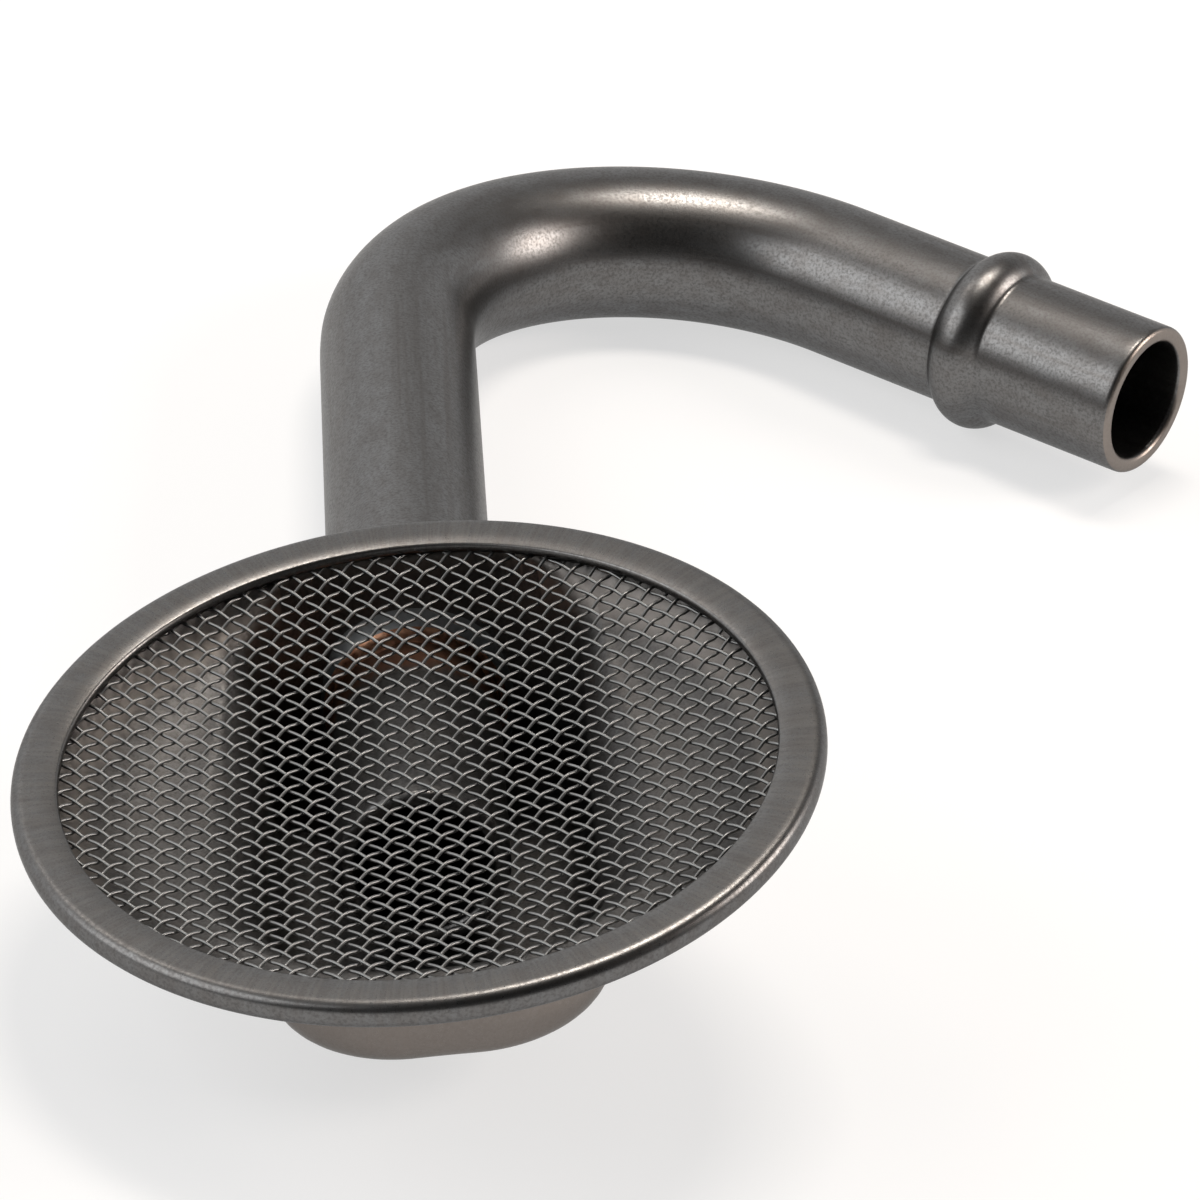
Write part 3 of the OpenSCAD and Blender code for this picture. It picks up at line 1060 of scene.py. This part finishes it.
@dataclass(frozen=True)
class DarkSteel(Finish):
    """Bare low-carbon steel, dulled by heat and oil: satin dark grey with fine grit and faint drawing marks.

    The marks run along the uv's second axis, and below a length on that axis the steel is dull. A range
    gives the two values of a noise between which its mark comes in, and a grain the noise's detail and the
    strength of its finer layers.
    """

    cloud: str = "#666361"
    cloud_mm: tuple[float, float] = (1.5, 4.0)
    cloud_grain: tuple[float, float] = (4.0, 0.6)
    cloud_range: tuple[float, float] = (0.3, 0.75)
    cloud_amount: float = 0.75
    streak_mm: tuple[float, float] = (1.3, 60.0)
    streak_range: tuple[float, float] = (0.45, 0.72)
    streak_amount: float = 0.9
    brush_range: tuple[float, float] = (0.42, 0.6)
    grit_mm: float = 0.3
    grit_grain: tuple[float, float] = (3.0, 0.65)
    grit_range: tuple[float, float] = (0.3, 0.7)
    grit_rough: tuple[float, float] = (-0.03, 0.07)
    speck: str = "#555352"
    speck_range: tuple[float, float] = (0.4, 0.7)
    speck_amount: float = 0.7
    edge_tint: float = 0.65
    bump_mm: float = 0.004
    bump_strength: float = 0.4
    dull_below: float = 0.0
    dull_fade: float = 3.0
    dull_rough: float = 0.4
    bands: tuple[Band, ...] = ()

    def paint(self, tree: Tree, shader: Node) -> None:
        """Paints clouds, streaks, specks and bands in the colour, and grit in the roughness and the bump.

        Args:
            tree: The tree that the nodes go into.
            shader: The shader that they feed.
        """
        at = add_node(tree, "ShaderNodeTexCoord").outputs
        along = add_node(tree, "ShaderNodeSeparateXYZ", Vector=at["UV"]).outputs[1]
        cloud, streak = (self.stretched(tree, at["UV"], size) for size in (self.cloud_mm, self.streak_mm))
        grit = noise(tree, at["Object"], per_mm(self.grit_mm), *self.grit_grain)
        clouds = ramp(tree, cloud, *self.cloud_range, 0.0, self.cloud_amount)
        lines = ramp(tree, streak, *self.streak_range, 0.0, self.streak_amount)
        specks = ramp(tree, grit, *self.speck_range, 0.0, self.speck_amount)
        colour = blend(tree, both(tree, Sum.LARGER, clouds, lines), linear(self.colour), linear(self.cloud))
        colour = blend(tree, specks, colour, linear(self.speck))
        for band in self.bands:
            amount = self.mask(tree, along, cloud, band)
            if band.brushed:
                amount = both(tree, Sum.TIMES, amount, ramp(tree, streak, *self.brush_range, 0.0, 1.0))
            colour = blend(tree, amount, colour, linear(band.colour))
        below = self.dull_below * MM
        dull = ramp(tree, along, below - self.dull_fade * MM, below, 1.0, 0.0)
        gritty = ramp(tree, grit, *self.grit_range, *(self.roughness + more for more in self.grit_rough))
        bump = add_node(tree, "ShaderNodeBump", Strength=self.bump_strength, Distance=self.bump_mm * MM,
                        Height=grit)
        set_inputs(tree, shader, Metallic=1.0, Specular_Tint=(*[self.edge_tint] * 3, 1.0), Base_Color=colour,
                   Roughness=between(tree, dull, gritty, self.dull_rough), Normal=bump.outputs[0])

    def stretched(self, tree: Tree, at: Socket, size_mm: tuple[float, float]) -> Socket:
        """Noise over the uv, of one size round the piece and another along it.

        Args:
            tree: The tree that the nodes go into.
            at: The uv.
            size_mm: The two sizes.

        Returns:
            The socket that gives the noise.
        """
        scale = (per_mm(size_mm[0]), per_mm(size_mm[1]), 1.0)
        place = add_node(tree, "ShaderNodeMapping", Vector=at, Scale=scale).outputs[0]
        return noise(tree, place, 1.0, *self.cloud_grain)

    def mask(self, tree: Tree, along: Socket, cloud: Socket, band: Band) -> Socket:
        """How much of a band shows at each place.

        Args:
            tree: The tree that the nodes go into.
            along: The place along the uv's second axis.
            cloud: The noise that breaks the band's edges.
            band: The band.

        Returns:
            The socket that gives its cover.
        """
        place = add_node(tree, "ShaderNodeMath", {"operation": "MULTIPLY_ADD"}, _0=cloud,
                         _1=band.broken * MM, _2=along).outputs[0]
        first, last = ((end + band.broken / 2) * MM for end in (band.first, band.last))
        soft = band.soft * MM
        rise = ramp(tree, place, first, first + soft, 0.0, band.amount)
        fall = ramp(tree, place, last - soft, last, 1.0, 0.0)
        return both(tree, Sum.TIMES, rise, fall)


@dataclass(frozen=True)
class DrawnWire(Finish):
    """Galvanised or bright-drawn steel wire of a strainer cloth: light grey, with a dull sheen."""

    shade: str
    cloud_mm: float = 2.5
    detail: float = 3.0

    def paint(self, tree: Tree, shader: Node) -> None:
        """Paints a little cloud in the colour from wire to wire.

        Args:
            tree: The tree that the nodes go into.
            shader: The shader that they feed.
        """
        at = add_node(tree, "ShaderNodeTexCoord").outputs["Object"]
        cloud = noise(tree, at, per_mm(self.cloud_mm), self.detail)
        tint = blend(tree, cloud, linear(self.colour), linear(self.shade))
        set_inputs(tree, shader, Metallic=1.0, Roughness=self.roughness, Base_Color=tint)


@dataclass(frozen=True)
class CopperBraze(Finish):
    """Copper furnace braze, dull and stained brown where the flux burnt."""

    stain: str
    stain_mm: float = 1.2
    stain_range: tuple[float, float] = (0.4, 0.65)
    detail: float = 4.0
    bump_mm: float = 0.05
    bump_strength: float = 0.5

    def paint(self, tree: Tree, shader: Node) -> None:
        """Paints bright copper broken by brown stain.

        Args:
            tree: The tree that the nodes go into.
            shader: The shader that they feed.
        """
        at = add_node(tree, "ShaderNodeTexCoord").outputs["Object"]
        cloud = noise(tree, at, per_mm(self.stain_mm), self.detail)
        low, high = self.stain_range
        amount = add_node(tree, "ShaderNodeMapRange", Value=cloud, _1=low, _2=high).outputs[0]
        tint = blend(tree, amount, linear(self.colour), linear(self.stain))
        bump = add_node(tree, "ShaderNodeBump", Strength=self.bump_strength, Distance=self.bump_mm * MM,
                        Height=cloud).outputs[0]
        set_inputs(tree, shader, Metallic=1.0, Roughness=self.roughness, Base_Color=tint, Normal=bump)


# uv mark and reach of the collar's painted highlight
MARK, MARK_REACH = Bowl().lit_collar_mark, 5.0
TUBE_STEEL = DarkSteel("drawn_tube_steel", "#787878", roughness=0.32, dull_below=29.0, bands=(
    Band("#a2745b", first=22.5, last=32.0, soft=3.0, amount=0.8, broken=4.0),
    Band("#8a817a", *Tube().cut_face(), soft=0.1, amount=0.8)))
BOWL_STEEL = DarkSteel(
    "stamped_sheet_steel", "#6f6f6f", roughness=0.3, streak_mm=(0.3, 8.0), streak_amount=0.3,
    dull_rough=0.5, bands=(
        # painted highlight: a light warm ring down the inside of the rim wall, where a lamp's reflection
        # shows
        Band("#aea69f", first=-12.0, last=-6.0, soft=2.5, amount=0.45),
        # painted highlight: the collar and the hole's edge painted light blue-grey, as they show lit from
        # above
        Band("#a3a6a8", first=MARK - MARK_REACH, last=MARK + MARK_REACH, soft=1.0, amount=0.9),
        Band("#85837f", first=0.1, last=4.2, soft=0.4, amount=0.22, broken=1.0, brushed=True),
        Band("#877e77", first=14.0, last=90.0, soft=6.0, amount=0.7)))
SCREEN_WIRE = DrawnWire("strainer_wire", "#888989", roughness=0.4, shade="#707171")
COPPER_BRAZE = CopperBraze("copper_braze", "#eeb795", roughness=0.45, stain="#8a563f")
WHITE = linear("#ffffff")


def standing(axes: list[np.ndarray], where: np.ndarray) -> Matrix:
    """Matrix of an object that stands at a place, turned to three axes.

    Args:
        axes: Unit vectors of its own three axes.
        where: Its place, in metres.

    Returns:
        The 4 by 4 matrix.
    """
    rows = np.eye(4)
    rows[:3] = np.column_stack([*axes, where])
    return Matrix(rows.tolist())


@dataclass(frozen=True)
class SoftBox:
    """A rectangular lamp.

    Args:
        name: Its name.
        at: Its place, in metres.
        size: Its width and height, in metres.
        power: Its power, in watts.
        colour: Its colour, as sRGB hex.
    """

    name: str
    at: tuple[float, float, float]
    size: tuple[float, float]
    power: float
    colour: str

    def hang(self, towards: np.ndarray) -> None:
        """Puts the lamp into the scene.

        Args:
            towards: The point that it faces.
        """
        data = bpy.data.lights.new(self.name, "AREA")
        data.shape = "RECTANGLE"
        data.size, data.size_y = self.size
        data.energy = self.power
        data.color = linear(self.colour)[:3]
        lamp = bpy.data.objects.new(self.name, data)
        z = unit(np.array(self.at) - towards)
        x = unit(np.cross([0.0, 0.0, 1.0], z))
        lamp.matrix_world = standing([x, np.cross(z, x), z], np.array(self.at))
        bpy.context.scene.collection.objects.link(lamp)


@dataclass
class Studio:
    """Pale floor, soft lamps, the room behind them and the camera.

    Each of the room's four ramps has two coordinates of a direction, and the light at the one and the other.
    """

    floor_size: float = 30.0
    floor_grey: float = 0.36
    floor_glow: float = 0.62
    azimuth: float = 0.096
    elevation: float = 35.414
    roll: float = -5.628
    target: tuple[float, float, float] = (17.553, 22.464, 0.0)
    distance: float = 757.279
    focal_px: float = 8265.54
    film_mm: float = 36.0
    sight_m: float = 100.0
    room_depth: tuple[float, float, float, float] = (-0.65, 0.45, 0.05, 0.75)
    room_height: tuple[float, float, float, float] = (0.35, 0.9, 1.35, 0.4)
    room_side: tuple[float, float, float, float] = (-0.35, 0.25, 1.2, 0.4)
    room_upper: tuple[float, float, float, float] = (0.3, 0.55, 0.2, 1.0)
    lamp_target: tuple[float, float, float] = (-0.04, -0.03, 0.0)
    boxes: tuple[SoftBox, ...] = (
        SoftBox("top_box", (-0.02, 0.22, 1.0), (0.42, 0.24), 6.2, "#fff6ec"),
        SoftBox("right_box", (0.83, -0.04, 0.5), (0.4, 0.4), 5.4, "#fff4ec"),
        SoftBox("left_box", (-0.88, -0.27, 0.52), (0.85, 0.65), 4.0, "#ffffff"),
        SoftBox("back_box", (-0.54, 0.37, 0.77), (0.3, 0.3), 0.7, "#fff6ee"))

    def camera(self, bowl_place: Place) -> None:
        """Sets up the camera, turned about the bowl's rim as the photograph's camera was.

        Args:
            bowl_place: Where the bowl's drawing frame lies.
        """
        az, el, roll = np.radians([self.azimuth, self.elevation, self.roll])
        back = np.array([np.sin(az) * np.cos(el), -np.cos(az) * np.cos(el), np.sin(el)])
        side = np.array([np.cos(az), np.sin(az), 0.0])
        up = np.cross(side, -back)
        right = np.cos(roll) * side + np.sin(roll) * up
        up = -np.sin(roll) * side + np.cos(roll) * up
        data = bpy.data.cameras.new("camera")
        data.sensor_width = self.film_mm
        data.lens = self.focal_px / PHOTO_PX * data.sensor_width
        data.clip_end = self.sight_m
        camera = bpy.data.objects.new("camera", data)
        camera.matrix_world = standing([bowl_place.way(v) for v in (right, up, back)],
                                       bowl_place.put(np.array(self.target) + back * self.distance))
        bpy.context.scene.collection.objects.link(camera)
        bpy.context.scene.camera = camera

    def floor(self) -> None:
        """Lays the pale floor under the part: white to the eye and to metal, less the part's shadow."""
        mesh = bpy.data.meshes.new("floor")
        h, z = self.floor_size / 2, float(CAD_BOX[0][2])
        mesh.from_pydata([(-h, -h, z), (h, -h, z), (h, h, z), (-h, h, z)], [], [(0, 1, 2, 3)])
        floor = bpy.data.objects.new("floor", mesh)
        bpy.context.scene.collection.objects.link(floor)
        material = bpy.data.materials.new("pale_floor")
        material.use_nodes = True
        tree = material.node_tree
        tree.nodes.clear()
        path = add_node(tree, "ShaderNodeLightPath").outputs
        seen = both(tree, Sum.LARGER, path["Is Camera Ray"], path["Is Glossy Ray"])
        seen = both(tree, Sum.LARGER, seen, path["Is Transmission Ray"])
        paint = add_node(tree, "ShaderNodeBsdfDiffuse", Color=(*[self.floor_grey] * 3, 1.0))
        light = add_node(tree, "ShaderNodeEmission", Color=WHITE,
                         Strength=both(tree, Sum.TIMES, seen, self.floor_glow))
        total = add_node(tree, "ShaderNodeAddShader", _0=paint.outputs[0], _1=light.outputs[0])
        add_node(tree, "ShaderNodeOutputMaterial", Surface=total.outputs[0])
        mesh.materials.append(material)

    def light(self) -> None:
        """Lights a room that is pale behind the part and dark behind the camera, and hangs the lamps."""
        world = bpy.data.worlds.new("room")
        world.use_nodes = True
        bpy.context.scene.world = world
        tree = world.node_tree
        tree.nodes.clear()
        at = add_node(tree, "ShaderNodeTexCoord")
        way = add_node(tree, "ShaderNodeSeparateXYZ", Vector=at.outputs["Generated"]).outputs
        depth, height = ramp(tree, way[1], *self.room_depth), ramp(tree, way[2], *self.room_height)
        side, upper = ramp(tree, way[0], *self.room_side), ramp(tree, way[2], *self.room_upper)
        level = both(tree, Sum.TIMES, both(tree, Sum.TIMES, depth, height), between(tree, upper, 1.0, side))
        back = add_node(tree, "ShaderNodeBackground", Color=WHITE, Strength=level)
        add_node(tree, "ShaderNodeOutputWorld", Surface=back.outputs[0])
        for box in self.boxes:
            box.hang(np.array(self.lamp_target))


def main() -> None:
    """Builds the pieces in order and reports each."""
    logging.basicConfig(level=logging.INFO, format="%(name)s: %(message)s")
    tube, bowl, studio = Tube(), Bowl(), Studio()
    tube_place = tube.lying()
    bowl_place = bowl.frame_on(tube_place)
    studio.camera(bowl_place)
    studio.floor()
    studio.light()
    tube.build(tube_place, TUBE_STEEL)
    bowl.build(bowl_place, BOWL_STEEL)
    Screen(bowl).build(bowl_place, SCREEN_WIRE)
    Braze(bowl).build(bowl_place, COPPER_BRAZE)
    bpy.context.scene.view_settings.view_transform = "Standard"


if __name__ == "__main__":
    main()
